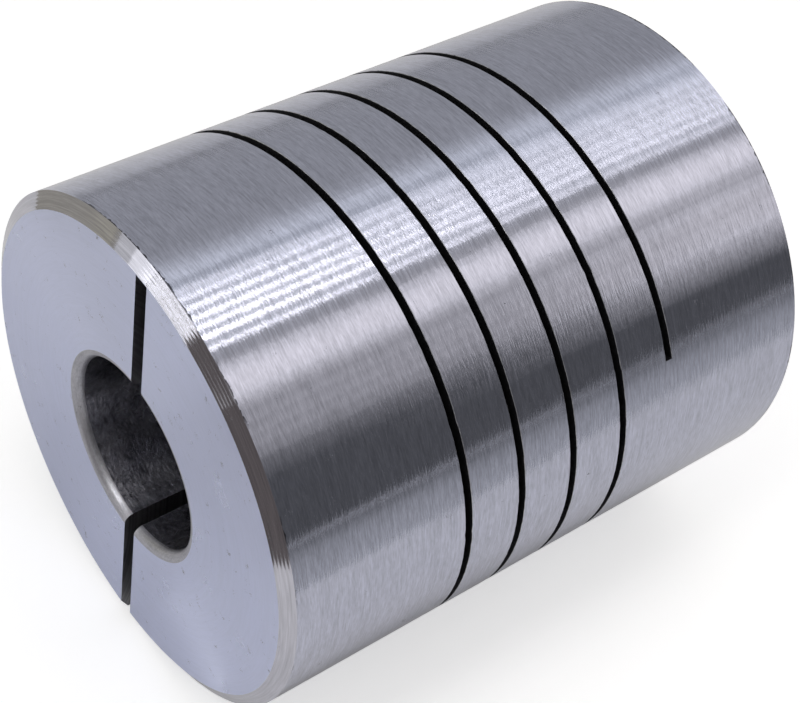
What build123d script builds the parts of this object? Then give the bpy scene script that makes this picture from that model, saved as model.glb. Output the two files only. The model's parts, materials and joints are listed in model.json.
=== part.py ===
from build123d import *
import os
from math import cos, floor, radians, sin, sqrt

# Helical beam coupling with a split clamp hub at each end. Millimetres.
# X runs along the shafts, from the front face to the rear face. Z is up, and
# the open side of both clamps faces down. The origin is the coupling's centre.
# Angles about X start at +Y and grow towards +Z.

# ---- Overall sizes ----
coupling_length = 30.0
outer_diameter = 25.0
bore_diameter = 9.5
front_hub_length = 7.82       # front face to the middle of the helical slot's start
rear_hub_length = 8.68        # rear face to the middle of the helical slot's end

# ---- Turned edges ----
rim_chamfer_radial = 0.75
rim_chamfer_axial = 0.40
bore_countersink = 0.45
beam_bore_relief = 0.50       # radial, keeps the shafts clear of the flexing beam

# ---- Helical slot that leaves one long flexing beam ----
slot_width = 0.42
slot_turns = 4.5
slot_end_angle = 153.2        # degrees about X, where the slot stops at the rear hub
hub_land = 0.30               # plain metal between the slot's ends and the hub pieces
beam_zones = 5                # equal lengths that follow each other when the beam flexes

# ---- Clamp split, one saw cut from each end face ----
split_width = 0.82
split_offset = -0.25          # middle of the cut, along Y
split_web = 0.51              # metal between the cut's deepest point and the beam
split_skin = 0.80             # metal over the cut's blind upper end, at the end face
saw_diameter = 50.0

# ---- Clamp screws, socket head ----
thread_diameter = 3.0
screw_length_step = 2.0       # screws come in even lengths
wall_over_screw = 1.65        # metal between the bore and the screw's clearance hole
head_diameter = 5.5
head_height = 3.0
head_edge = 0.30
socket_across_flats = 2.5
socket_depth = 1.5
tip_chamfer = 0.40
under_rim = 0.10              # how far the head stays inside the outer diameter
recess_web = 0.31             # metal between the head recess and the beam

# ---- Clearances, radial ----
thread_clearance = 0.05
shank_clearance = 0.12
head_clearance = 0.25

# ---- Worked out from the sizes above ----
half_length = coupling_length / 2
outer_radius = outer_diameter / 2
bore_radius = bore_diameter / 2
thread_radius = thread_diameter / 2
head_radius = head_diameter / 2
saw_radius = saw_diameter / 2

slot_start_x = front_hub_length - half_length
slot_end_x = half_length - rear_hub_length
slot_pitch = (slot_end_x - slot_start_x) / slot_turns
slot_start_angle = slot_end_angle - 360 * slot_turns

beam_start_x = slot_start_x - slot_width / 2 - hub_land
beam_end_x = slot_end_x + slot_width / 2 + hub_land
zone_length = (beam_end_x - beam_start_x) / beam_zones

front_hub_piece = half_length + beam_start_x
rear_hub_piece = half_length - beam_end_x
shorter_hub_piece = min(front_hub_piece, rear_hub_piece)

split_depth = shorter_hub_piece - split_web
split_half_chord = sqrt(saw_radius**2 - (saw_radius - split_depth) ** 2)
split_middle_z = outer_radius - split_skin - split_half_chord

recess_radius = head_radius + head_clearance
screw_inset = shorter_hub_piece - recess_web - recess_radius
screw_z = -(bore_radius + wall_over_screw + thread_radius + shank_clearance)
head_reach = sqrt(outer_radius**2 - (head_radius - screw_z) ** 2)
screw_seat_y = head_reach - under_rim - head_height
tip_reach = sqrt(outer_radius**2 - (thread_radius - screw_z) ** 2)
screw_length = screw_length_step * floor((screw_seat_y + tip_reach) / screw_length_step)


def tube(inner_radius, start_x, end_x):
    """A plain ring of the coupling's outer diameter, between two planes."""
    length = end_x - start_x
    ring = Circle(outer_radius) - Circle(inner_radius)
    return extrude(Plane.YZ.offset(start_x) * ring, length)


def hub_blank(length):
    """A turned hub, face at x = 0, with its rim chamfer and its countersunk bore."""
    outline = Polyline(
        (0, bore_radius + bore_countersink),
        (bore_countersink, bore_radius),
        (length, bore_radius),
        (length, outer_radius),
        (rim_chamfer_axial, outer_radius),
        (0, outer_radius - rim_chamfer_radial),
        close=True,
    )
    return revolve(make_face(outline), axis=Axis.X)


def saw_cut():
    """The disc of metal that the slitting saw takes out of a hub whose face is at x = 0."""
    disc = Cylinder(saw_radius, split_width, rotation=(90, 0, 0))
    return Pos(split_depth - saw_radius, split_offset, split_middle_z) * disc


def across(radius, from_y, to_y):
    """A round bar on the clamp screw's axis, parallel to Y."""
    bar = Cylinder(radius, to_y - from_y, rotation=(90, 0, 0))
    return Pos(screw_inset, (from_y + to_y) / 2, screw_z) * bar


def screw_hole():
    """Head recess, clearance hole to the split, and tapped hole through the far jaw."""
    recess = across(recess_radius, screw_seat_y, outer_radius)
    clearance = across(thread_radius + shank_clearance, split_offset, screw_seat_y)
    tapped = across(thread_radius + thread_clearance, -outer_radius, split_offset)
    return recess + clearance + tapped


def clamp_hub(length):
    """One clamp hub, with its face at x = 0 and the beam side at x = length."""
    return hub_blank(length) - saw_cut() - screw_hole()


def clamp_screw():
    """A socket head cap screw in the hub whose face is at x = 0."""
    head = Cylinder(head_radius, head_height)
    head = chamfer(head.edges().group_by(Axis.Z)[-1], head_edge)
    socket = extrude(RegularPolygon(socket_across_flats / 2, 6, major_radius=False), socket_depth)
    head -= Pos(0, 0, head_height / 2 - socket_depth) * socket
    shank = Cylinder(thread_radius, screw_length)
    shank = chamfer(shank.edges().group_by(Axis.Z)[0], tip_chamfer)
    screw = Pos(0, 0, head_height / 2) * head + Pos(0, 0, -screw_length / 2) * shank
    seat = Plane((screw_inset, screw_seat_y, screw_z), x_dir=(1, 0, 0), z_dir=(0, 1, 0))
    return seat * screw


def slot_stretch(from_turn, to_turn):
    """A stretch of the helical slot as a solid: a radial strip wound along the axis."""
    inside = bore_radius
    outside = outer_radius + slot_width
    middle = (inside + outside) / 2
    strip = Plane.XZ * Pos(middle, 0) * Rectangle(outside - inside, slot_width)
    length = slot_pitch * (to_turn - from_turn)
    winding = Helix(slot_pitch, length, middle)
    axis_line = Edge.make_line((0, 0, 0), (0, 0, length))
    start = radians(slot_start_angle + 360 * from_turn)
    mouth = Plane(
        (slot_start_x + slot_pitch * from_turn, 0, 0),
        x_dir=(0, cos(start), sin(start)),
        z_dir=(1, 0, 0),
    )
    return mouth * sweep(strip, path=winding, binormal=axis_line)


def beam_zone(index):
    """One length of the slotted beam, counted from the front hub."""
    start_x = beam_start_x + index * zone_length
    end_x = start_x + zone_length
    from_turn = max(0, (start_x - slot_width - slot_start_x) / slot_pitch)
    to_turn = min(slot_turns, (end_x + slot_width - slot_start_x) / slot_pitch)
    ring = tube(bore_radius + beam_bore_relief, start_x, end_x)
    return ring - slot_stretch(from_turn, to_turn)


def to_front(shape):
    """Moves a hub piece from x = 0 to the front face."""
    return Pos(-half_length, 0, 0) * shape


def to_rear(shape):
    """Mirrors a hub piece across the coupling's middle plane, onto the rear face."""
    return mirror(to_front(shape), about=Plane.YZ)


def build():
    """Every piece of the coupling, by name."""
    pieces = {
        "front_hub": to_front(clamp_hub(front_hub_piece)),
        "rear_hub": to_rear(clamp_hub(rear_hub_piece)),
        "front_clamp_screw": to_front(clamp_screw()),
        "rear_clamp_screw": to_rear(clamp_screw()),
    }
    for index in range(beam_zones):
        pieces[f"beam_zone_{index + 1}"] = beam_zone(index)
    return pieces


os.makedirs("parts", exist_ok=True)
for name, piece in build().items():
    piece.label = name
    export_step(piece, f"parts/{name}.step")
    print(name, f"{piece.volume:.1f} mm3")
print("slot pitch", round(slot_pitch, 3), "beam", round(beam_start_x, 3), "to", round(beam_end_x, 3))
print("screw axis z", round(screw_z, 3), "seat y", round(screw_seat_y, 3), "length", screw_length)
print("split depth", round(split_depth, 3), "screw inset", round(screw_inset, 3))
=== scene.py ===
# %% [markdown]
# # A helical beam coupling
# This coupling joins two shafts. It is turned from one bar of aluminium: a clamp hub at
# each end, and between them a long helical slot that leaves a flexing beam. Two small
# socket head screws close the clamps. The lesson turns the body, cuts it, divides it
# where it bends, makes the screws, and then gives each cut surface its own finish.

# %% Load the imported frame
import json
import math
import random

import bpy
from mathutils import Matrix, Vector

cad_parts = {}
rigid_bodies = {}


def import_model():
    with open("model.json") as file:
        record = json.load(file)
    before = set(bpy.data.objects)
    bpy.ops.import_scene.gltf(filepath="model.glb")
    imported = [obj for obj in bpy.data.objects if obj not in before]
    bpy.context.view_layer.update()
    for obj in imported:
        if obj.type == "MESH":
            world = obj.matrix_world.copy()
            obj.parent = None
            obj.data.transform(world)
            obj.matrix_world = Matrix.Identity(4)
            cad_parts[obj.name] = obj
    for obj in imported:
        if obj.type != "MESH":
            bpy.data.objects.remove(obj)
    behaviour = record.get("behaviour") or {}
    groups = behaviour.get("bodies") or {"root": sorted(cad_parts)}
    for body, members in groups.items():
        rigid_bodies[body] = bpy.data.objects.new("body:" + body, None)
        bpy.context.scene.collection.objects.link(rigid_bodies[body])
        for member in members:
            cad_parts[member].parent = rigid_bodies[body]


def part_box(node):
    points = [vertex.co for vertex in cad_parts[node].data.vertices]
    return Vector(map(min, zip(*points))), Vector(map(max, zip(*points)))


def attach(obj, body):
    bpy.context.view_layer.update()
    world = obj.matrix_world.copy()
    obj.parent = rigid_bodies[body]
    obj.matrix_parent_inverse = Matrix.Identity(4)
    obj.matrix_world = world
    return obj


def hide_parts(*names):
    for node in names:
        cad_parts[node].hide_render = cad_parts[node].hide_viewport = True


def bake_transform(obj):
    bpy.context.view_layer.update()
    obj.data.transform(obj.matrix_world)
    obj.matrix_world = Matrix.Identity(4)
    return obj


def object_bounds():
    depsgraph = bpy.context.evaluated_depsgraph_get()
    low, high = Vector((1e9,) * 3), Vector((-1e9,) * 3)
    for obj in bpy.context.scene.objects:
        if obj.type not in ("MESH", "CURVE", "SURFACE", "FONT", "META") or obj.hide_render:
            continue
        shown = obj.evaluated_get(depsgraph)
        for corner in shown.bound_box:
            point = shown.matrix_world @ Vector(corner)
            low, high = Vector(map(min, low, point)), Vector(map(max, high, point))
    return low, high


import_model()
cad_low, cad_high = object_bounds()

print("CAD box", tuple(cad_low), tuple(cad_high))

# %% [markdown]
# ## Sizes
# The frame's boxes give the outside size and the planes where the bodies meet. The sizes
# of cuts inside a piece can't be read from a box, so they are named here, in metres. One
# millimetre is written MM, so that each number reads as it would on a drawing.

# %% Name the sizes
MM = 0.001
MICRON = 0.000001

half_length = cad_high.x
outer_radius = 12.5 * MM
bore_radius = 4.75 * MM
beam_bore_radius = 5.25 * MM
rim_radial = 0.75 * MM
rim_axial = 0.40 * MM
countersink = 0.45 * MM

hub_boxes = {name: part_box(name) for name in ("front_hub", "rear_hub")}
front_joint_x = hub_boxes["front_hub"][1].x
rear_joint_x = hub_boxes["rear_hub"][0].x
print("beam from", round(front_joint_x / MM, 3), "to", round(rear_joint_x / MM, 3), "mm")

# %% [markdown]
# ## Working by hand, in code
# Blender's operators act on whatever is selected. These helpers do what a person does
# before each step: drop the old selection, pick the points that are meant, and go in and
# out of edit mode.


# %% Helpers for selecting and editing
def only(piece):
    """Makes this piece the active and the only selected object."""
    bpy.ops.object.select_all(action="DESELECT")
    piece.select_set(True)
    bpy.context.view_layer.objects.active = piece


def edit_all(piece):
    """Opens edit mode on one piece, with everything selected."""
    only(piece)
    bpy.ops.object.mode_set(mode="EDIT")
    bpy.ops.mesh.select_all(action="SELECT")


def select_points(piece, wanted):
    """Selects the points for which wanted(place) is true, and opens edit mode."""
    only(piece)
    bpy.ops.object.mode_set(mode="EDIT")
    bpy.ops.mesh.select_mode(type="VERT")
    bpy.ops.mesh.select_all(action="DESELECT")
    bpy.ops.object.mode_set(mode="OBJECT")
    for point in piece.data.vertices:
        point.select = bool(wanted(point.co))
    bpy.ops.object.mode_set(mode="EDIT")


def done():
    """Back to object mode."""
    bpy.ops.object.mode_set(mode="OBJECT")


def from_axis(place):
    """Distance of a point from the coupling's axis."""
    return math.hypot(place.y, place.z)


print("helpers ready")

# %% [markdown]
# ## Drawing an outline
# A lathe makes every round surface from one outline. By hand, an outline starts as a
# single point and grows by extruding that point from corner to corner. The same helper
# draws the coupling's section, the slot's section and the screws.


# %% Draw an outline point by point
MERGE = 0.5 * MICRON


def draw_outline(name, corners, closed):
    """A chain of edges through the corners, as a new object at the origin."""
    bpy.ops.object.select_all(action="DESELECT")
    bpy.ops.mesh.primitive_plane_add(size=MM, location=(0, 0, 0))
    outline = bpy.context.object
    outline.name = name
    bpy.ops.object.mode_set(mode="EDIT")
    bpy.ops.mesh.select_mode(type="VERT")
    bpy.ops.mesh.merge(type="CENTER")
    bpy.ops.transform.translate(value=corners[0])
    for before, after in zip(corners, corners[1:]):
        step = Vector(after) - Vector(before)
        bpy.ops.mesh.extrude_region_move(TRANSFORM_OT_translate={"value": step})
    if closed:
        bpy.ops.mesh.select_all(action="SELECT")
        bpy.ops.mesh.edge_face_add()
        bpy.ops.mesh.delete(type="ONLY_FACE")
    done()
    return outline


def spin_outline(outline, axis, centre, steps):
    """Turns an outline right round an axis, into a closed skin with its faces outwards."""
    edit_all(outline)
    bpy.ops.mesh.spin(steps=steps, angle=math.tau, center=centre, axis=axis)
    bpy.ops.mesh.select_all(action="SELECT")
    bpy.ops.mesh.remove_doubles(threshold=MERGE)
    bpy.ops.mesh.normals_make_consistent(inside=False)
    done()
    return outline


# %% [markdown]
# ## The turned blank
# The real body is one bar, faced at both ends, chamfered on its rims and bored through,
# with a slightly wider bore under the flexing beam. One outline spun round the axis gives
# all of these at once, with every ring of points in line, so the hubs and the beam share
# one unbroken surface.

# %% Turn the blank
ROUND_STEPS = 256
RIM_GROOVES = 5
STEPS_A_GROOVE = 6
MOUTH_STEPS = 5
groove_depth = 0.0009 * MM
relief_runout = 0.02 * MM


def grooved_rim(end_side):
    """The rim chamfer from the end face to the outside, with the tool's fine grooves."""
    corners = []
    slant = math.hypot(rim_axial, rim_radial)
    steps = RIM_GROOVES * STEPS_A_GROOVE
    for step in range(1, steps):
        share = step / steps
        ripple = groove_depth * (math.cos(math.tau * RIM_GROOVES * share) - 1)
        x = half_length - rim_axial * share + ripple * rim_radial / slant
        r = outer_radius - rim_radial * (1 - share) + ripple * rim_axial / slant
        corners.append((end_side * x, r, 0))
    return corners


def rounded_mouth(end_side):
    """The countersunk mouth of the bore, rounded over from the end face to the bore."""
    corners = []
    for step in range(MOUTH_STEPS + 1):
        turn = math.radians(90) * step / MOUTH_STEPS
        x = half_length - countersink * (1 - math.cos(turn))
        r = bore_radius + countersink * (1 - math.sin(turn))
        corners.append((end_side * x, r, 0))
    return corners


blank_corners = [
    *reversed(rounded_mouth(-1)),
    (-half_length, outer_radius - rim_radial, 0),
    *grooved_rim(-1),
    (-half_length + rim_axial, outer_radius, 0),
    (half_length - rim_axial, outer_radius, 0),
    *reversed(grooved_rim(1)),
    (half_length, outer_radius - rim_radial, 0),
    *rounded_mouth(1),
    (rear_joint_x + relief_runout, bore_radius, 0),
    (rear_joint_x + relief_runout, beam_bore_radius, 0),
    (front_joint_x - relief_runout, beam_bore_radius, 0),
    (front_joint_x - relief_runout, bore_radius, 0),
]
body = draw_outline("coupling_body", blank_corners, closed=True)
spin_outline(body, (1, 0, 0), (0, 0, 0), ROUND_STEPS)
print("blank faces", len(body.data.polygons))

# %% [markdown]
# ## Finishes by name
# Each machining step leaves its own surface, so each gets its own material: turned
# outside, faced end, chamfer, mouth of the bore, bore, slot wall, slot edge, saw cut and
# drilled hole. The materials are made empty here, so that each cutter can carry the
# finish that its cut leaves. The nodes are added further on.

# %% Name one material for each machining step
FINISHES = [
    "turned_outside",
    "faced_end",
    "turned_chamfer",
    "bore_mouth",
    "bored_wall",
    "slot_wall",
    "slot_edge",
    "saw_cut",
    "drilled_hole",
    "screw_black",
]
finish = {name: bpy.data.materials.new(name) for name in FINISHES}


def give_finish(piece, *names):
    """Gives a piece its list of finishes, the first one all over."""
    piece.data.materials.clear()
    for name in names:
        piece.data.materials.append(finish[name])


def paint_faces(piece, name, wanted):
    """Gives a finish to the faces for which wanted(centre, normal) is true."""
    slot_number = piece.data.materials.find(name)
    count = 0
    for face in piece.data.polygons:
        if wanted(face.center, face.normal):
            face.material_index = slot_number
            count += 1
    return count


BODY_FINISHES = [name for name in FINISHES if name != "screw_black"]
give_finish(body, *BODY_FINISHES)
FACES_ALONG_AXIS = 0.9
FACES_AWAY_FROM_AXIS = 0.1
MIDDLE_OF_WALL = 8.0 * MM


def is_end(centre, normal):
    """True on the two flat end faces."""
    return abs(normal.x) > FACES_ALONG_AXIS and abs(centre.x) > half_length - MICRON


def is_chamfer(centre, normal):
    """True on the grooved rims."""
    near_rim = from_axis(centre) > outer_radius - rim_radial
    return near_rim and abs(centre.x) > half_length - rim_axial


def is_mouth(centre, normal):
    """True on the rounded mouths of the bore."""
    near_bore = from_axis(centre) < bore_radius + countersink
    return near_bore and abs(centre.x) > half_length - countersink


def is_bore(centre, normal):
    """True on the round inner walls."""
    return from_axis(centre) < MIDDLE_OF_WALL and abs(normal.x) < FACES_AWAY_FROM_AXIS


print("bore faces", paint_faces(body, "bored_wall", is_bore))
print("chamfer faces", paint_faces(body, "turned_chamfer", is_chamfer))
print("mouth faces", paint_faces(body, "bore_mouth", is_mouth))
print("end faces", paint_faces(body, "faced_end", is_end))

# %% [markdown]
# ## The helical slot
# A narrow cutter follows a right-handed helix for four and a half turns, and its two ends
# are square. The Screw modifier winds a small outline round the X axis and along it at
# once, which is just what the machine does. The outline flares a little at the outside,
# so the slot's edges get a tiny break that catches the light, and its points are nudged
# at random, because a real slot edge is never perfectly clean.

# %% Wind the slot cutter
SLOT_START_X = -7.18 * MM
SLOT_LENGTH = 13.5 * MM
SLOT_TURNS = 4.5
SLOT_START_ANGLE = math.radians(-26.8)
edge_break = 0.020 * MM
slot_half = 0.21 * MM - edge_break
chatter_size = 0.006 * MM
nick_size = 0.030 * MM
NICK_SHARE = 0.025
past_surface = 0.30 * MM
inside_bore = 4.3 * MM

slot_corners = [
    (SLOT_START_X - slot_half, inside_bore, 0),
    (SLOT_START_X - slot_half, outer_radius - edge_break, 0),
    (SLOT_START_X - slot_half - edge_break - past_surface, outer_radius + past_surface, 0),
    (SLOT_START_X + slot_half + edge_break + past_surface, outer_radius + past_surface, 0),
    (SLOT_START_X + slot_half, outer_radius - edge_break, 0),
    (SLOT_START_X + slot_half, inside_bore, 0),
]
slot_cutter = draw_outline("slot_cutter", slot_corners, closed=True)
slot_cutter.rotation_euler = (SLOT_START_ANGLE, 0, 0)
only(slot_cutter)
bpy.ops.object.transform_apply(location=False, rotation=True, scale=False)


def wind(outline, axis, turns, advance, steps_a_turn):
    """Winds an outline into a helix with the Screw modifier, and applies it."""
    only(outline)
    winding = outline.modifiers.new("winding", "SCREW")
    winding.axis = axis
    winding.angle = math.tau * turns
    winding.screw_offset = advance
    winding.steps = round(steps_a_turn * turns)
    winding.render_steps = winding.steps
    winding.use_smooth_shade = False
    bpy.ops.object.modifier_apply(modifier="winding")


wind(slot_cutter, "X", SLOT_TURNS, SLOT_LENGTH, ROUND_STEPS)
chatter = random.Random(7)
CORNERS = len(slot_corners)
for column in range(len(slot_cutter.data.vertices) // CORNERS):
    sides = [chatter.gauss(0, chatter_size), chatter.gauss(0, chatter_size)]
    if chatter.random() < NICK_SHARE:
        sides[chatter.randrange(2)] += chatter.choice((-1, 1)) * nick_size
    for corner in range(CORNERS):
        point = slot_cutter.data.vertices[column * CORNERS + corner]
        point.co.x += sides[0] if corner < CORNERS / 2 else sides[1]
bpy.ops.object.mode_set(mode="EDIT")
bpy.ops.mesh.select_mode(type="EDGE")
bpy.ops.mesh.select_all(action="DESELECT")
bpy.ops.mesh.select_non_manifold()
bpy.ops.mesh.edge_face_add()
bpy.ops.mesh.select_all(action="SELECT")
bpy.ops.mesh.normals_make_consistent(inside=False)
done()
give_finish(slot_cutter, "slot_wall", "slot_edge")


FACES_INWARDS = -0.3


def is_slot_edge(centre, normal):
    """True on the cutter's two flared flanks, which break the slot's edges."""
    radial = (normal.y * centre.y + normal.z * centre.z) / from_axis(centre)
    return radial < FACES_INWARDS and from_axis(centre) > outer_radius - edge_break


print("slot cutter faces", len(slot_cutter.data.polygons))
print("edge break faces", paint_faces(slot_cutter, "slot_edge", is_slot_edge))
print("slot ends at x", round(max(v.co.x for v in slot_cutter.data.vertices) / MM, 3), "mm")


# %% [markdown]
# ## Cutting
# A Boolean modifier takes one solid out of another. The exact solver is used, because it
# keeps the cuts crisp and closed, and it carries the cutter's finish onto the new walls.


# %% Cut one solid with another
def cut(piece, cutter):
    """Takes the cutter out of the piece, and removes the cutter."""
    only(piece)
    before = len(piece.data.polygons)
    cutting = piece.modifiers.new("cutting", "BOOLEAN")
    cutting.object = cutter
    cutting.operation = "DIFFERENCE"
    cutting.solver = "EXACT"
    cutting.material_mode = "TRANSFER"
    bpy.ops.object.modifier_apply(modifier="cutting")
    print(cutter.name, "cut: faces", before, "to", len(piece.data.polygons))
    bpy.data.objects.remove(cutter)


cut(body, slot_cutter)

# %% [markdown]
# ## The clamp splits
# A slitting saw, a thin disc 50 mm across, is fed into each end. Its round edge leaves the
# split open underneath and blind at the top, and its teeth leave arcs on the two walls.
# One disc is added at its size and place for each end, and taken out of the body.

# %% Saw the two splits
SAW_STEPS = 512
saw_radius = 25.0 * MM
split_width = 0.82 * MM
split_y = -0.25 * MM
saw_centre_x = 33.2 * MM
saw_centre_z = -5.438 * MM


def saw_disc(name, centre_x):
    """The metal that the slitting saw takes out, as a thin disc."""
    bpy.ops.object.select_all(action="DESELECT")
    bpy.ops.mesh.primitive_cylinder_add(
        vertices=SAW_STEPS,
        radius=saw_radius,
        depth=split_width,
        location=(centre_x, split_y, saw_centre_z),
        rotation=(math.radians(90), 0, 0),
    )
    disc = bpy.context.object
    disc.name = name
    bpy.ops.object.transform_apply(location=True, rotation=True, scale=True)
    give_finish(disc, "saw_cut")
    return disc


cut(body, saw_disc("front_saw", -saw_centre_x))
cut(body, saw_disc("rear_saw", saw_centre_x))

# %% [markdown]
# ## Screw threads
# A thread is a zigzag wound round an axis. The zigzag is drawn along Y, and the Screw
# modifier turns it once while it moves on by one pitch, so each tooth meets the next one.
# The rod is then cut flat at both ends. The same helper makes the screw's own thread and
# the cutter for the tapped hole.

# %% Make a threaded rod
THREAD_PITCH = 0.5 * MM
THREAD_STEPS = 48
CREST_START = 0.44
CREST_END = 0.56


def trim(place, outward):
    """In edit mode, cuts off everything beyond a plane, and closes the cut."""
    bpy.ops.mesh.select_all(action="SELECT")
    bpy.ops.mesh.bisect(
        plane_co=place,
        plane_no=outward,
        use_fill=True,
        clear_outer=True,
        threshold=MERGE,
    )


def threaded_rod(name, root, crest, from_y, to_y):
    """A closed rod round the Y axis, with a thread between two flat ends."""
    teeth = math.ceil((to_y - from_y) / THREAD_PITCH) + 2
    first_y = from_y - THREAD_PITCH
    corners = []
    for tooth in range(teeth):
        tooth_y = first_y + tooth * THREAD_PITCH
        corners.append((root, tooth_y, 0))
        corners.append((crest, tooth_y + CREST_START * THREAD_PITCH, 0))
        corners.append((crest, tooth_y + CREST_END * THREAD_PITCH, 0))
    corners.append((root, first_y + teeth * THREAD_PITCH, 0))
    rod = draw_outline(name, corners, closed=False)
    wind(rod, "Y", 1, THREAD_PITCH, THREAD_STEPS)
    edit_all(rod)
    bpy.ops.mesh.remove_doubles(threshold=MERGE)
    trim((0, from_y, 0), (0, -1, 0))
    trim((0, to_y, 0), (0, 1, 0))
    bpy.ops.mesh.select_all(action="SELECT")
    bpy.ops.mesh.normals_make_consistent(inside=False)
    done()
    return rod


# %% [markdown]
# ## The screw holes
# Each clamp has one cross hole: a flat-bottomed recess for the screw's head, a clearance
# hole as far as the split, and a tapped hole through the other jaw. The two plain parts
# are one stepped plug, spun like any turned shape. The tapped part is a threaded rod with
# a little more room than the screw, so the two never touch.

# %% Drill and tap the two cross holes
SCREW_STEPS = 96
screw_x = 11.0 * MM
screw_z = -8.02 * MM
seat_y = 3.245 * MM
recess_radius = 3.0 * MM
clearance_radius = 1.62 * MM
tapped_root = 1.55 * MM
tapped_crest = 1.68 * MM
outside_y = 13.0 * MM

plug_corners = [
    (0, split_y, 0),
    (clearance_radius, split_y, 0),
    (clearance_radius, seat_y, 0),
    (recess_radius, seat_y, 0),
    (recess_radius, outside_y, 0),
    (0, outside_y, 0),
]


def move_to(piece, place):
    """Moves a piece, and puts the move into its mesh."""
    only(piece)
    piece.location = place
    bpy.ops.object.transform_apply(location=True, rotation=False, scale=False)


for end_name, end_x in (("front", -screw_x), ("rear", screw_x)):
    plug = draw_outline(end_name + "_drill", plug_corners, closed=False)
    spin_outline(plug, (0, 1, 0), (0, 0, 0), SCREW_STEPS)
    give_finish(plug, "drilled_hole")
    move_to(plug, (end_x, 0, screw_z))
    cut(body, plug)
    tap = threaded_rod(end_name + "_tap", tapped_root, tapped_crest, -outside_y, split_y)
    give_finish(tap, "drilled_hole")
    move_to(tap, (end_x, 0, screw_z))
    cut(body, tap)


# %% [markdown]
# ## Dividing the body where it bends
# The real body is one piece of metal, but it bends between its hubs, and the hubs follow
# their own bodies. The finished body is copied and each copy is cut flat with bisect, so
# neighbours keep exactly matching edges. The two hubs are rigid. The beam is divided into
# six rings, from the middle of one zone to the middle of the next.

# %% Divide the body into hubs and beam rings
BEAM_ZONES = 5
beam_length = rear_joint_x - front_joint_x
zone_edges = [front_joint_x + k * beam_length / BEAM_ZONES for k in range(BEAM_ZONES + 1)]
zone_middles = [(start + end) / 2 for start, end in zip(zone_edges, zone_edges[1:])]
ring_edges = [front_joint_x, *zone_middles, rear_joint_x]


def slice_of_body(name, from_x, to_x):
    """A copy of the body between two planes across its axis."""
    only(body)
    bpy.ops.object.duplicate(linked=False)
    piece = bpy.context.object
    piece.name = name
    piece.data.name = name
    bpy.ops.object.mode_set(mode="EDIT")
    if from_x > -half_length:
        trim((from_x, 0, 0), (-1, 0, 0))
    if to_x < half_length:
        trim((to_x, 0, 0), (1, 0, 0))
    done()
    return piece


front_hub = slice_of_body("front_clamp_hub", -half_length, front_joint_x)
rear_hub = slice_of_body("rear_clamp_hub", rear_joint_x, half_length)
beam_rings = []
for number, (ring_start, ring_end) in enumerate(zip(ring_edges, ring_edges[1:])):
    beam_rings.append(slice_of_body(f"beam_ring_{number + 1}", ring_start, ring_end))
bpy.data.objects.remove(body)
print("pieces of the body:", 2 + len(beam_rings))


# %% [markdown]
# ## The clamp screws
# Each clamp is closed by an M3 socket head screw, 10 mm long. The head is a turned shape
# with rounded edges and a fine knurl for the fingers. The knurl is made by pulling every
# second column of points in towards the screw's own axis, which lies along Y.

# %% Turn the screw's head and knurl it
head_radius = 2.72 * MM
head_height = 3.0 * MM
KNURL_TEETH = 48
KNURL_DEPTH = 0.975

head_corners = [
    (0, 0, 0),
    (head_radius - 0.15 * MM, 0, 0),
    (head_radius - 0.04 * MM, 0.04 * MM, 0),
    (head_radius, 0.15 * MM, 0),
    (head_radius, 0.30 * MM, 0),
    (head_radius, head_height - 0.50 * MM, 0),
    (head_radius, head_height - 0.34 * MM, 0),
    (head_radius - 0.09 * MM, head_height - 0.10 * MM, 0),
    (head_radius - 0.30 * MM, head_height, 0),
    (0, head_height, 0),
]
screw = draw_outline("clamp_screw", head_corners, closed=False)
spin_outline(screw, (0, 1, 0), (0, 0, 0), 2 * KNURL_TEETH)


def is_knurl_valley(place):
    """True on every second column of points on the head's side."""
    turn = math.atan2(place.z, place.x) / math.tau * 2 * KNURL_TEETH
    on_side = 0.25 * MM < place.y < head_height - 0.45 * MM
    return on_side and round(turn) % 2 == 1


select_points(screw, is_knurl_valley)
bpy.ops.transform.resize(value=(KNURL_DEPTH, 1, KNURL_DEPTH), center_override=(0, 0, 0))
done()
print("head points", len(screw.data.vertices))

# %% [markdown]
# ## The hexagon socket
# The maker first drills a round hole with a cone at its bottom, and then presses a
# six-sided tool into it. Both steps are done here in the same order, with a spun drill
# and a cylinder that has only six sides. A taper at the top breaks the socket's edge.

# %% Cut the hexagon socket
socket_across_flats = 2.5 * MM
socket_corner_radius = socket_across_flats / math.sqrt(3)
socket_depth = 1.5 * MM
socket_taper = 0.12 * MM
drill_radius = 1.18 * MM
drill_point = 0.35 * MM
drill_corners = [
    (0, head_height - socket_depth - drill_point, 0),
    (drill_radius, head_height - socket_depth + 0.05 * MM, 0),
    (drill_radius, head_height - 3 * socket_taper, 0),
    (socket_corner_radius + 2 * socket_taper, head_height + socket_taper, 0),
    (0, head_height + socket_taper, 0),
]
socket_drill = draw_outline("socket_drill", drill_corners, closed=False)
spin_outline(socket_drill, (0, 1, 0), (0, 0, 0), SCREW_STEPS)
cut(screw, socket_drill)
bpy.ops.object.select_all(action="DESELECT")
bpy.ops.mesh.primitive_cylinder_add(
    vertices=6,
    radius=socket_corner_radius,
    depth=2 * socket_depth,
    location=(0, head_height, 0),
    rotation=(math.radians(90), 0, 0),
)
socket_broach = bpy.context.object
socket_broach.name = "socket_broach"
bpy.ops.object.transform_apply(location=True, rotation=True, scale=True)
cut(screw, socket_broach)

# %% [markdown]
# ## The threaded shank
# The shank is a threaded rod whose tip is turned down to a cone by a small ring-shaped
# cutter. It reaches a little way into the head, and a Boolean union makes one solid of
# the two. The tiny slivers that a Boolean can leave are merged at the end.

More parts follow.
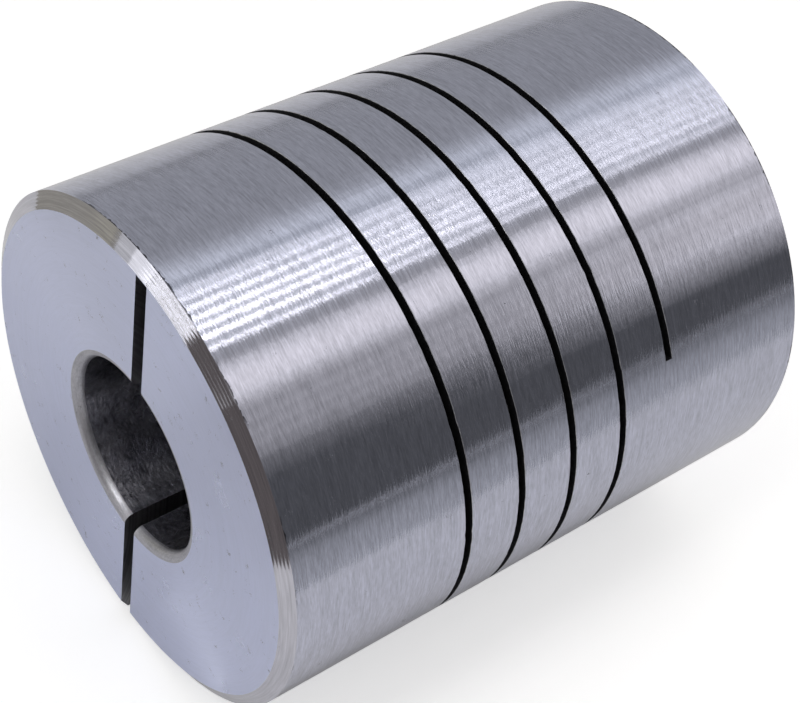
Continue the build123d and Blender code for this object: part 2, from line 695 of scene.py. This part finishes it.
# %% Add the threaded shank
shank_length = 10.0 * MM
thread_root = 1.24 * MM
thread_crest = 1.49 * MM
tip_chamfer = 0.40 * MM
into_head = 0.2 * MM
past_tip = 0.1 * MM
shank = threaded_rod("shank", thread_root, thread_crest, -shank_length, into_head)
tip_corners = [
    (thread_crest - tip_chamfer, -shank_length - past_tip, 0),
    (thread_crest + tip_chamfer, -shank_length - past_tip, 0),
    (thread_crest + tip_chamfer, -shank_length + 2 * tip_chamfer - past_tip, 0),
]
tip_cutter = draw_outline("tip_chamfer", tip_corners, closed=True)
spin_outline(tip_cutter, (0, 1, 0), (0, 0, 0), SCREW_STEPS)
cut(shank, tip_cutter)
only(screw)
joining = screw.modifiers.new("joining", "BOOLEAN")
joining.object = shank
joining.operation = "UNION"
joining.solver = "EXACT"
bpy.ops.object.modifier_apply(modifier="joining")
bpy.data.objects.remove(shank)
bpy.ops.object.mode_set(mode="EDIT")
bpy.ops.mesh.select_mode(type="VERT")
bpy.ops.mesh.select_all(action="SELECT")
bpy.ops.mesh.remove_doubles(threshold=4 * MERGE)
bpy.ops.mesh.dissolve_degenerate(threshold=MERGE)
done()
give_finish(screw, "screw_black")
print("screw faces", len(screw.data.polygons))

# %% [markdown]
# ## Fitting the screws
# One screw is enough to model, and the second one is a copy. A hair's breadth of space is
# left under each head, five thousandths of a millimetre, so that the screw can turn
# without its face rubbing on the face of its seat.

# %% Put one screw in each clamp
seat_gap = 0.005 * MM
screw.name = "front_socket_screw"
only(screw)
bpy.ops.object.duplicate(linked=False)
rear_screw = bpy.context.object
rear_screw.name = "rear_socket_screw"
front_screw = screw
move_to(front_screw, (-screw_x, seat_y + seat_gap, screw_z))
move_to(rear_screw, (screw_x, seat_y + seat_gap, screw_z))
print("screws at x", -screw_x / MM, "and", screw_x / MM, "mm")

# %% [markdown]
# ## Smooth where it was round
# Flat facets on a turned part should shade as one round surface, while machined corners
# stay sharp. Shading smooth by angle keeps every corner over 25 degrees crisp.

# %% Shade the pieces
CORNER_ANGLE = math.radians(25)
all_pieces = [front_hub, rear_hub, *beam_rings, front_screw, rear_screw]
for piece in all_pieces:
    only(piece)
    bpy.ops.object.shade_smooth_by_angle(angle=CORNER_ANGLE)
print("shaded", len(all_pieces), "pieces")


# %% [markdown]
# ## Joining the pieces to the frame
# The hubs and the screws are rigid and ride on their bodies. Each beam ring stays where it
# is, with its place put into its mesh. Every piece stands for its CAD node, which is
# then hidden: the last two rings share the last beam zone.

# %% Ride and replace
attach(front_hub, "front_hub")
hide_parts("front_hub")
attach(rear_hub, "rear_hub")
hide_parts("rear_hub")
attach(front_screw, "front_screw")
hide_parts("front_clamp_screw")
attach(rear_screw, "rear_screw")
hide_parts("rear_clamp_screw")

for number, ring in enumerate(beam_rings):
    ring_start = (ring_edges[number], 0, 0)
    ring_end = (ring_edges[number + 1], 0, 0)
    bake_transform(ring)
    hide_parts(f"beam_zone_{min(number + 1, BEAM_ZONES)}")

print("joined", len(all_pieces), "pieces to the frame")

# %% [markdown]
# ## Building materials from nodes
# Each finish is a small network of nodes, worked out from the place on the object, so it
# has no picture and no seam. These helpers add one node with its settings and inputs, do
# plain sums, make noise, blend two colours and raise a bump.


# %% Helpers for nodes
def add_node(tree, kind, settings=None, inputs=None):
    """Adds a node. An input is a number, a colour, or another node's output."""
    made = tree.nodes.new(kind)
    for name, value in (settings or {}).items():
        setattr(made, name, value)
    for name, value in (inputs or {}).items():
        if isinstance(value, bpy.types.NodeSocket):
            tree.links.new(value, made.inputs[name])
        else:
            made.inputs[name].default_value = value
    return made


def calculate(tree, operation, first, second=0.0, third=0.0):
    """One step of arithmetic on sockets or numbers."""
    inputs = {0: first, 1: second, 2: third}
    return add_node(tree, "ShaderNodeMath", {"operation": operation}, inputs).outputs[0]


def from_to(tree, value, low, high, out_low, out_high):
    """Maps a value between two limits onto two others, and stops at the limits."""
    inputs = {0: value, 1: low, 2: high, 3: out_low, 4: out_high}
    return add_node(tree, "ShaderNodeMapRange", {"clamp": True}, inputs).outputs[0]


def noise(tree, vector, fourth, scale, detail, roughness):
    """Smooth random values from 0 to 1, with a fourth coordinate beside the place."""
    inputs = {
        "Vector": vector,
        "W": fourth,
        "Scale": scale,
        "Detail": detail,
        "Roughness": roughness,
    }
    return add_node(tree, "ShaderNodeTexNoise", {"noise_dimensions": "4D"}, inputs).outputs[0]


def blend_colours(tree, share, first, second):
    """A colour between two others: the first where share is 0, the second where it is 1."""
    inputs = {"Factor": share, "A": first, "B": second}
    return add_node(tree, "ShaderNodeMix", {"data_type": "RGBA"}, inputs).outputs["Result"]


def weigh(tree, first, first_share, second, second_share):
    """The sum of two values, each times its share."""
    weighed = calculate(tree, "MULTIPLY", second, second_share)
    return calculate(tree, "MULTIPLY_ADD", first, first_share, weighed)


def add_bump(tree, metal, height, depth):
    """Raises the surface's shading by a height from 0 to 1, times a depth in metres."""
    inputs = {"Strength": 1.0, "Distance": depth, "Height": height}
    bump = add_node(tree, "ShaderNodeBump", inputs=inputs)
    tree.links.new(bump.outputs[0], metal.inputs["Normal"])


def start_material(name):
    """Clears a finish and returns its tree with a metal shader joined to the output."""
    material = finish[name]
    material.use_nodes = True
    tree = material.node_tree
    tree.nodes.clear()
    metal = tree.nodes.new("ShaderNodeBsdfPrincipled")
    output = tree.nodes.new("ShaderNodeOutputMaterial")
    tree.links.new(metal.outputs["BSDF"], output.inputs["Surface"])
    metal.inputs["Metallic"].default_value = 1.0
    return tree, metal


print("node helpers ready")

# %% [markdown]
# ## Turned metal
# A lathe tool leaves fine rings round the axis. On the outside they are close lines that
# run round the part, and on an end face they are circles. Both follow from one idea: the
# pattern changes quickly along the axis and along the radius, and slowly round the axis.
# So the noise reads four numbers: the place along the axis, the direction from the axis
# as two, and the radius as the fourth. The rings also stretch each highlight across
# themselves, which is what the anisotropy does, with its tangent taken round the X axis
# and turned a quarter. Small dark pits lie in clusters, and a thin broken line of burr
# follows the outer edge of each rim.


# %% Describe turned metal
def round_place(tree, mark_width, mark_length, radius_for_length):
    """Coordinates whose unit is one tool mark: across, and round the axis."""
    place = add_node(tree, "ShaderNodeTexCoord").outputs["Object"]
    parts = add_node(tree, "ShaderNodeSeparateXYZ", inputs={0: place})
    off_axis = {1: parts.outputs[1], 2: parts.outputs[2]}
    flat = add_node(tree, "ShaderNodeCombineXYZ", inputs=off_axis).outputs[0]
    length = add_node(tree, "ShaderNodeVectorMath", {"operation": "LENGTH"}, {0: flat})
    outward = add_node(tree, "ShaderNodeVectorMath", {"operation": "NORMALIZE"}, {0: flat})
    scaling = {0: outward.outputs[0], "Scale": radius_for_length / mark_length}
    turned = add_node(tree, "ShaderNodeVectorMath", {"operation": "SCALE"}, scaling)
    along = calculate(tree, "DIVIDE", parts.outputs[0], mark_width)
    across = calculate(tree, "DIVIDE", length.outputs["Value"], mark_width)
    side = add_node(tree, "ShaderNodeCombineXYZ", inputs={0: along})
    sum_parts = {0: turned.outputs[0], 1: side.outputs[0]}
    vector = add_node(tree, "ShaderNodeVectorMath", {"operation": "ADD"}, sum_parts)
    return place, vector.outputs[0], across


BURR_GRAIN = 0.27 * MM
BURR_WIDEST = 0.135 * MM
BURR_STRETCH = 3.6 * MM


def rim_burr(tree, place):
    """1 on a thin, broken line along the rim's outer edge, which the outside's finish paints dark.
    """
    parts = add_node(tree, "ShaderNodeSeparateXYZ", inputs={0: place})
    from_middle = calculate(tree, "ABSOLUTE", parts.outputs[0])
    gap = calculate(tree, "SUBTRACT", half_length - rim_axial, from_middle)
    ragged = noise(tree, place, 1.0, 1.0 / BURR_GRAIN, 3.0, 0.6)
    reach = from_to(tree, ragged, 0.35, 0.75, 0.0, BURR_WIDEST)
    spots = noise(tree, place, 2.0, 1.0 / BURR_STRETCH, 1.0, 0.5)
    here = from_to(tree, spots, 0.44, 0.50, 0.0, 1.0)
    inside = calculate(tree, "LESS_THAN", gap, reach)
    return calculate(tree, "MULTIPLY", inside, here)


PATCHES_A_METRE = 260.0
PITS_A_CLUSTER = 14
PIT_EDGE = 0.03
PIT_DEPTH = 0.5
PIT_COLOUR = (0.10, 0.10, 0.12, 1)


def turned_metal(name, colours, roughness, stretch, fine, coarse, depth, pits):
    """A lathe-turned finish. Lengths are in metres.

    fine and coarse are (mark width, mark length), and pits are (pit size, how rare).
    """
    tree, metal = start_material(name)
    place, fine_vector, fine_across = round_place(tree, *fine, outer_radius)
    _, coarse_vector, coarse_across = round_place(tree, *coarse, outer_radius)
    fine_marks = noise(tree, fine_vector, fine_across, 1.0, 3.0, 0.6)
    coarse_marks = noise(tree, coarse_vector, coarse_across, 1.0, 2.0, 0.5)
    marks = weigh(tree, fine_marks, 0.6, coarse_marks, 0.4)
    patches = noise(tree, place, 0.0, PATCHES_A_METRE, 4.0, 0.6)
    pit_size, pit_level = pits
    pit_noise = noise(tree, place, 3.0, 1.0 / pit_size, 2.0, 0.5)
    cluster = noise(tree, place, 5.0, 1.0 / (PITS_A_CLUSTER * pit_size), 1.0, 0.5)
    pit_mix = weigh(tree, cluster, 0.6, pit_noise, 0.6)
    pit = from_to(tree, pit_mix, pit_level, pit_level + PIT_EDGE, 0.0, 1.0)
    if name == "turned_outside":
        pit = calculate(tree, "MAXIMUM", pit, rim_burr(tree, place))

    shade = from_to(tree, marks, 0.36, 0.64, 0.0, 1.0)
    base = blend_colours(tree, shade, *colours)
    pitted = blend_colours(tree, pit, base, PIT_COLOUR)
    tree.links.new(pitted, metal.inputs["Base Color"])

    rough = from_to(tree, patches, 0.3, 0.7, *roughness)
    tree.links.new(rough, metal.inputs["Roughness"])
    metal.inputs["Anisotropic"].default_value = stretch
    metal.inputs["Anisotropic Rotation"].default_value = 0.25
    tangent = add_node(tree, "ShaderNodeTangent", {"direction_type": "RADIAL", "axis": "X"})
    tree.links.new(tangent.outputs[0], metal.inputs["Tangent"])

    sunk = calculate(tree, "MULTIPLY", pit, PIT_DEPTH)
    relief = calculate(tree, "SUBTRACT", marks, sunk)
    add_bump(tree, metal, relief, depth)


print("turned metal ready")

# %% [markdown]
# ## The turned surfaces
# The outside has a fine feed and the finish of a sharp tool. The end faces are smoother
# and bluer, with faint circles. The chamfers are cut with the corner of the tool in one
# pass. The mouth of the bore is dull and rounded over, and the bore itself is rougher
# still, and painted darker as painted shade for the inside of the bore.

# %% Make the five turned finishes
turned_metal(
    "turned_outside",
    colours=((0.47, 0.485, 0.58, 1), (0.69, 0.71, 0.85, 1)),
    roughness=(0.07, 0.11),
    stretch=1.0,
    fine=(0.060 * MM, 0.45 * MM),
    coarse=(0.11 * MM, 1.6 * MM),
    depth=10.5 * MICRON,
    pits=(0.05 * MM, 0.82),
)
turned_metal(
    "faced_end",
    colours=((0.635, 0.675, 0.87, 1), (0.67, 0.71, 0.92, 1)),
    roughness=(0.26, 0.34),
    stretch=0.8,
    fine=(0.07 * MM, 1.2 * MM),
    coarse=(0.20 * MM, 9.0 * MM),
    depth=1.0 * MICRON,
    pits=(0.035 * MM, 0.785),
)
turned_metal(
    "turned_chamfer",
    colours=((0.50, 0.50, 0.56, 1), (0.72, 0.72, 0.80, 1)),
    roughness=(0.06, 0.10),
    stretch=0.9,
    fine=(0.06 * MM, 1.6 * MM),
    coarse=(0.10 * MM, 9.0 * MM),
    depth=4 * MICRON,
    pits=(0.04 * MM, 0.82),
)
turned_metal(
    "bore_mouth",
    colours=((0.38, 0.38, 0.42, 1), (0.58, 0.58, 0.62, 1)),
    roughness=(0.38, 0.52),
    stretch=0.3,
    fine=(0.06 * MM, 0.4 * MM),
    coarse=(0.12 * MM, 3.0 * MM),
    depth=14 * MICRON,
    pits=(0.05 * MM, 0.78),
)
# The bore's darker colours are painted shade for the inside of the bore.
turned_metal(
    "bored_wall",
    colours=((0.20, 0.20, 0.23, 1), (0.66, 0.66, 0.72, 1)),
    roughness=(0.16, 0.34),
    stretch=0.6,
    fine=(0.16 * MM, 0.7 * MM),
    coarse=(0.60 * MM, 1.5 * MM),
    depth=40 * MICRON,
    pits=(0.06 * MM, 0.78),
)
print("turned finishes:", ", ".join(FINISHES[:5]))

# %% [markdown]
# ## Sawn, slotted and drilled walls
# The slot's walls are dull, and painted dark as painted shade for the deep, narrow slot. The
# split's walls show the arcs of the saw's teeth, which are circles round the saw's own centre.
# The cross holes are drilled and plainly rough, and the screws are dull and black. One
# helper makes all of these, with rings round a given centre line, or with even grain.


# %% Make the cut walls
def cut_wall(name, colours, roughness, grain, depth, centre=None):
    """A rough cut wall. With a centre (x, z) the grain becomes arcs round that point."""
    tree, metal = start_material(name)
    place = add_node(tree, "ShaderNodeTexCoord").outputs["Object"]
    grain_noise = noise(tree, place, 0.0, 1.0 / grain, 4.0, 0.65)
    marks = grain_noise
    if centre:
        parts = add_node(tree, "ShaderNodeSeparateXYZ", inputs={0: place})
        from_middle = calculate(tree, "ABSOLUTE", parts.outputs[0])
        side = calculate(tree, "SUBTRACT", from_middle, centre[0])
        height = calculate(tree, "SUBTRACT", parts.outputs[2], centre[1])
        square = weigh(tree, side, side, height, height)
        reach = calculate(tree, "DIVIDE", calculate(tree, "SQRT", square), grain)
        arcs = noise(tree, (0.0, 0.0, 0.0), reach, 1.0, 2.0, 0.5)
        marks = weigh(tree, arcs, 0.8, grain_noise, 0.2)
    shade = from_to(tree, marks, 0.3, 0.7, 0.0, 1.0)
    tree.links.new(blend_colours(tree, shade, *colours), metal.inputs["Base Color"])
    rough = from_to(tree, grain_noise, 0.3, 0.7, *roughness)
    tree.links.new(rough, metal.inputs["Roughness"])
    add_bump(tree, metal, marks, depth)


# The slot walls' near-black colours are painted shade for the deep, narrow slot.
cut_wall(
    "slot_wall",
    colours=((0.02, 0.02, 0.025, 1), (0.10, 0.10, 0.11, 1)),
    roughness=(0.5, 0.7),
    grain=0.10 * MM,
    depth=6 * MICRON,
)
cut_wall(
    "slot_edge",
    colours=((0.25, 0.26, 0.30, 1), (0.85, 0.86, 0.90, 1)),
    roughness=(0.2, 0.5),
    grain=0.25 * MM,
    depth=10 * MICRON,
)
cut_wall(
    "saw_cut",
    colours=((0.20, 0.20, 0.22, 1), (0.45, 0.45, 0.48, 1)),
    roughness=(0.3, 0.5),
    grain=0.12 * MM,
    depth=8 * MICRON,
    centre=(saw_centre_x, saw_centre_z),
)
cut_wall(
    "drilled_hole",
    colours=((0.30, 0.30, 0.33, 1), (0.50, 0.51, 0.55, 1)),
    roughness=(0.25, 0.45),
    grain=0.15 * MM,
    depth=6 * MICRON,
)
cut_wall(
    "screw_black",
    colours=((0.015, 0.015, 0.017, 1), (0.05, 0.05, 0.055, 1)),
    roughness=(0.32, 0.5),
    grain=0.12 * MM,
    depth=4 * MICRON,
)
print("finishes made:", ", ".join(FINISHES))

# %% [markdown]
# ## Floor
# The floor is a plain pale sheet, just under the coupling. A little of its own light
# keeps it pale, so only a soft shadow shows round the part.

# %% Lay the floor
bpy.ops.object.select_all(action="DESELECT")
bpy.ops.mesh.primitive_plane_add(size=4.0, location=(0, 0, cad_low.z))
floor = bpy.context.object
floor.name = "pale_floor"
floor_paint = bpy.data.materials.new("pale_floor_paint")
floor_paint.use_nodes = True
floor_tree = floor_paint.node_tree
floor_tree.nodes.clear()
FLOOR_WHITE = (0.80, 0.80, 0.80, 1)
matt = add_node(floor_tree, "ShaderNodeBsdfDiffuse", inputs={"Color": FLOOR_WHITE})
FLOOR_GLOW_SEEN = 0.48
seen = add_node(floor_tree, "ShaderNodeLightPath").outputs["Is Camera Ray"]
glow_strength = calculate(floor_tree, "MULTIPLY", seen, FLOOR_GLOW_SEEN)
glow = add_node(floor_tree, "ShaderNodeEmission", inputs={"Strength": glow_strength})
both = add_node(floor_tree, "ShaderNodeAddShader", inputs={0: matt.outputs[0], 1: glow.outputs[0]})
add_node(floor_tree, "ShaderNodeOutputMaterial", inputs={"Surface": both.outputs[0]})
floor.data.materials.append(floor_paint)
print("floor at", round(cad_low.z / MM, 2), "mm")

# %% [markdown]
# ## Light
# The metal mirrors what is round it, so the lights are placed by where they show in it. A
# bank of narrow lamps gives the fine bright lines on top, and wider lamps that fade
# towards their edges give the broad bands below them. Where there is no lamp, the metal
# is dark. Each lamp hangs on a circle round the axis, at its own angle from +Y towards
# +Z, and most of them towards the rear, where the camera sees them reflected.

# %% Describe a lamp
LAMP_DISTANCE = 300 * MM
LAMP_STEP = 1.0 * MM
LAMP_CENTRE_X = 165 * MM
LAMP_LENGTH = 520 * MM
LAMP_COLOUR = (1.0, 0.95, 0.91)
AXIS = Vector((1, 0, 0))
LAYER_WIDTHS = (0.4, 0.7, 1.0, 1.3, 1.6)
all_lamps = []


def round_axis(angle, distance, x):
    """A place on a circle round the coupling's axis."""
    turn = math.radians(angle)
    return Vector((x, distance * math.cos(turn), distance * math.sin(turn)))


def turn_to(level, outward):
    """The turn that points a thing's Z outward, and its X along a level direction."""
    return Matrix((level, outward.cross(level), outward)).transposed().to_4x4()


def lamp(
    name,
    angle,
    width_angle,
    brightness,
    centre_x=LAMP_CENTRE_X,
    length=LAMP_LENGTH,
    colour=LAMP_COLOUR,
):
    """A long soft lamp along X that looks at the axis. Angles are in degrees.

    Each lamp hangs a little nearer than the last, because two lamps in one plane don't add.
    """
    distance = LAMP_DISTANCE - LAMP_STEP * len(all_lamps)
    light = bpy.data.lights.new(name, "AREA")
    light.shape = "RECTANGLE"
    light.size = length
    light.size_y = distance * math.radians(width_angle)
    light.energy = brightness * light.size * light.size_y * math.pi
    light.color = colour
    made = bpy.data.objects.new(name, light)
    bpy.context.scene.collection.objects.link(made)
    made.matrix_world = turn_to(AXIS, round_axis(angle, 1, 0))
    made.location = round_axis(angle, distance, centre_x)
    made.visible_camera = False
    all_lamps.append(made)


def soft_lamp(name, angle, width_angle, brightness, *placing):
    """Five lamps, one inside the other, so that the light fades towards its edges."""
    for layer, share in enumerate(LAYER_WIDTHS):
        layer_name = f"{name}_{layer + 1}"
        layer_brightness = brightness / len(LAYER_WIDTHS)
        lamp(layer_name, angle, share * width_angle, layer_brightness, *placing)


print("lamp helpers ready")

# %% [markdown]
# ## The bank of strips and the broad bands
# Eight strips hang close together over the top, each in two lengths, because the end of
# the part near the camera mirrors a place further forward. Two wide bluish glows fill
# the gaps between them. The broad lamps hang lower on the side, and one of them only
# shows at the rear.

# %% Hang the lamps
GLOW_COLOUR = (0.94, 0.97, 1.0)
STRIP_ANGLES = (68.9, 72.1, 75.5, 80.2, 84.9, 89.0, 93.4, 98.4)
STRIP_BRIGHTNESS = (0.9, 1.3, 2.1, 3.0, 3.5, 3.5, 3.5, 1.9)
STRIP_WIDTH = 1.3
LONG_STRIP = (10 * MM, 850 * MM)
NEAR_STRIP = (-140 * MM, 550 * MM)
for number, (angle, brightness) in enumerate(zip(STRIP_ANGLES, STRIP_BRIGHTNESS)):
    lamp(f"strip_lamp_{number + 1}", angle, STRIP_WIDTH, 0.45 * brightness, *LONG_STRIP)
    lamp(f"near_strip_{number + 1}", angle, STRIP_WIDTH, 0.55 * brightness, *NEAR_STRIP)
soft_lamp("bank_glow", 80, 38, 0.27, *LONG_STRIP, GLOW_COLOUR)
soft_lamp("shoulder_lamp", 67, 13, 0.28, *LONG_STRIP, GLOW_COLOUR)
soft_lamp("side_lamp", 118, 36, 0.42)
soft_lamp("band_lamp", 113.5, 12, 0.72)
soft_lamp("low_band_lamp", 140, 16, 0.16)
soft_lamp("rear_side_lamp", 143, 26, 0.70, 330 * MM, 300 * MM)
print("lamps hung:", len(all_lamps))

# %% [markdown]
# ## Cards
# Plain cards stand round the part and only show in its reflections. Seven grey ones hang
# behind the lamps, and keep the dark bands from going black. The rim looks along the
# floor, so its cards stand there: a brown one in front, an olive one, a pane with a
# brighter window, and a row of thin bright stripes that lean the way the rim stretches
# its highlights.


# %% Hang the cards
def plain_sheet(name):
    """A flat square, one metre wide, at the origin."""
    bpy.ops.object.select_all(action="DESELECT")
    bpy.ops.mesh.primitive_plane_add(size=1)
    made = bpy.context.object
    made.name = name
    return made


def shade_card(made, colour, brightness):
    """Gives a card an even colour of its own, and hides it from the camera."""
    paint = bpy.data.materials.new(made.name + "_paint")
    paint.use_nodes = True
    tree = paint.node_tree
    tree.nodes.clear()
    shade = add_node(tree, "ShaderNodeEmission", inputs={"Color": colour, "Strength": brightness})
    add_node(tree, "ShaderNodeOutputMaterial", inputs={"Surface": shade.outputs[0]})
    made.data.materials.append(paint)
    made.visible_camera = False
    made.visible_shadow = False
    made.visible_diffuse = False


def card(name, place, width, height, colour, brightness, lean=0):
    """A flat card at a place, facing the coupling, leaning by an angle in degrees."""
    made = plain_sheet(name)
    outward = Vector(place).normalized()
    facing = turn_to(Vector((0, 0, 1)).cross(outward).normalized(), outward)
    leaning = Matrix.Rotation(math.radians(lean), 4, "Z")
    shape = Matrix.Diagonal((width, height, 1, 1))
    made.matrix_world = Matrix.Translation(place) @ facing @ leaning @ shape
    shade_card(made, colour, brightness)


WHITE = (1, 1, 1, 1)
OLIVE = (0.46, 0.44, 0.36, 1)
DARK_OLIVE = (0.35, 0.335, 0.29, 1)
BROWN = (0.13, 0.115, 0.11, 1)


def level_place(azimuth, distance, z):
    """A place on a level circle, with azimuth 180 straight in front of the end face."""
    turn = math.radians(azimuth)
    return Vector((distance * math.cos(turn), distance * math.sin(turn), z))


SIDE_ANGLES = (106, 118, 130, 142, 154, 166, 177)
SIDE_DISTANCE = 350 * MM
SIDE_SHAPE = Matrix.Diagonal((900 * MM, 76 * MM, 1, 1))
SIDE_BRIGHTNESS = 0.10
for number, angle in enumerate(SIDE_ANGLES):
    side_card = plain_sheet(f"side_card_{number + 1}")
    place = Matrix.Translation(round_axis(angle, SIDE_DISTANCE, LAMP_CENTRE_X))
    side_card.matrix_world = place @ turn_to(AXIS, round_axis(angle, 1, 0)) @ SIDE_SHAPE
    shade_card(side_card, WHITE, SIDE_BRIGHTNESS)

CARD_MIDDLE_Z = 13.6 * MM
CARD_HEIGHT = 52 * MM
standing_cards = (
    ("front_flag", 176, 136 * MM, 110 * MM, BROWN, 1.0),
    ("olive_card", 123, 130 * MM, 72 * MM, OLIVE, 0.9),
    ("pane_card", 144, 127 * MM, 18 * MM, WHITE, 0.65),
    ("window_card", 148, 126 * MM, 14 * MM, WHITE, 1.1),
)
for name, azimuth, distance, width, colour, brightness in standing_cards:
    place = level_place(azimuth, distance, CARD_MIDDLE_Z)
    card(name, place, width, CARD_HEIGHT, colour, brightness)

CHAMFER_STRIPES = 8
FIRST_STRIPE = 154
STRIPE_SPACING = 1.8
STRIPE_DISTANCE = 125 * MM
STRIPE_WIDTH = 1.5 * MM
STRIPE_LEAN = -34
STRIPE_BRIGHTNESS = 2.4
for number in range(CHAMFER_STRIPES):
    azimuth = FIRST_STRIPE + STRIPE_SPACING * number
    place = level_place(azimuth, STRIPE_DISTANCE, CARD_MIDDLE_Z)
    name = f"stripe_card_{number + 1}"
    card(name, place, STRIPE_WIDTH, CARD_HEIGHT, WHITE, STRIPE_BRIGHTNESS, STRIPE_LEAN)
print("cards standing:", len(SIDE_ANGLES) + len(standing_cards) + CHAMFER_STRIPES)

# %% [markdown]
# ## Sheets on the floor and a front lamp
# The end face and the lower side mirror the floor. Brown and olive sheets tint it where
# the end face and the rim look, and a sheet that fades with distance lights the lower
# side. A small lamp lights the floor in front of the end face, and a thin bright line
# lies there for the end face to mirror, low down, as a faint streak.


# %% Lay the sheets and hang the front lamp
SHEET_LIFT = 0.1 * MM
NEAR_EDGE = 0.5


def floor_sheet(name, centre, size, colour, fade=None):
    """A sheet just over the floor, evenly bright, or fading across its width.

    fade is (where it starts, light up to there, light at the near edge). Places across
    the sheet run from -0.5 at its far edge to 0.5 at the edge near the coupling.
    """
    made = plain_sheet(name)
    made.location = (centre[0], centre[1], cad_low.z + SHEET_LIFT)
    made.scale = (size[0], size[1], 1)
    shade_card(made, colour, 1.0)
    if fade:
        tree = made.data.materials[0].node_tree
        place = add_node(tree, "ShaderNodeTexCoord").outputs["Object"]
        across = add_node(tree, "ShaderNodeSeparateXYZ", inputs={0: place}).outputs[1]
        fade_start, far_light, near_light = fade
        light = from_to(tree, across, fade_start, NEAR_EDGE, far_light, near_light)
        tree.links.new(light, tree.nodes["Emission"].inputs["Strength"])
    return made


SIDE_FADE = (-0.1, 0.18, 0.44)
floor_sheet("front_sheet", (-181 * MM, -100 * MM), (280 * MM, 220 * MM), BROWN)
floor_sheet("olive_sheet", (-105 * MM, 100 * MM), (160 * MM, 140 * MM), DARK_OLIVE)
floor_sheet("side_sheet", (80 * MM, -145 * MM), (240 * MM, 200 * MM), WHITE, SIDE_FADE)

FRONT_FILL_BRIGHTNESS = 0.30
front_fill_place = Vector((-150, -10, 250)) * MM
front_fill_target = Vector((-40 * MM, 0, cad_low.z))
front_fill_data = bpy.data.lights.new("front_fill", "AREA")
front_fill_data.shape = "SQUARE"
front_fill_data.size = 60 * MM
front_fill_data.energy = FRONT_FILL_BRIGHTNESS * math.pi * front_fill_data.size**2
front_fill_data.spread = math.radians(30)
front_fill = bpy.data.objects.new("front_fill", front_fill_data)
bpy.context.scene.collection.objects.link(front_fill)
aim = (front_fill_place - front_fill_target).to_track_quat("Z", "Y")
front_fill.matrix_world = Matrix.Translation(front_fill_place) @ aim.to_matrix().to_4x4()
front_fill.visible_camera = False

glint = floor_sheet("floor_glint", (-17.6 * MM, -3.05 * MM), (0.4 * MM, 6.7 * MM), WHITE)
GLINT_TURN = 13.8
glint.rotation_euler.z = math.radians(GLINT_TURN)
print("sheets laid, front lamp at", tuple(round(v / MM) for v in front_fill_place), "mm")

# %% [markdown]
# ## Sky
# The sky is an even soft grey that fills in the shadows. The camera sees it nearly white,
# as the paper background of a studio would be.

# %% Paint the sky
SKY = (0.37, 0.37, 0.37, 1)
SKY_SEEN = (0.97, 0.97, 0.97, 1)
world = bpy.data.worlds.new("studio")
bpy.context.scene.world = world
world.use_nodes = True
sky_tree = world.node_tree
sky_tree.nodes.clear()
sky_seen = add_node(sky_tree, "ShaderNodeLightPath").outputs["Is Camera Ray"]
sky_colour = blend_colours(sky_tree, sky_seen, SKY, SKY_SEEN)
sky = add_node(sky_tree, "ShaderNodeBackground", inputs={"Color": sky_colour})
add_node(sky_tree, "ShaderNodeOutputWorld", inputs={"Surface": sky.outputs[0]})
bpy.context.scene.view_settings.view_transform = "Standard"
print("sky", SKY[0])

# %% [markdown]
# ## Camera
# The camera looks down at the front face from one side, close enough for real
# perspective. Three directions are written out, right, down and forward, because a camera
# that is placed by its directions needs no turning by hand. A camera's own axes point
# right, up and back, so two of the three change sign.

# %% Place the camera
camera_place = Vector((-42.22, -41.703, 63.836)) * MM
camera_right = Vector((0.7927, -0.59327, 0.14024))
camera_down = Vector((-0.37206, -0.65305, -0.65962))
camera_forward = Vector((0.48292, 0.4707, -0.7384))
camera_data = bpy.data.cameras.new("studio_camera")
camera_data.sensor_width = 36
camera_data.lens = 80.25
camera_data.clip_start = MM
camera_data.clip_end = 10
camera = bpy.data.objects.new("studio_camera", camera_data)
bpy.context.scene.collection.objects.link(camera)
turned = Matrix((camera_right, -camera_down, -camera_forward)).transposed().to_4x4()
camera.matrix_world = Matrix.Translation(camera_place) @ turned
bpy.context.scene.camera = camera
print("camera", round(camera_place.length / MM, 1), "mm from the centre")
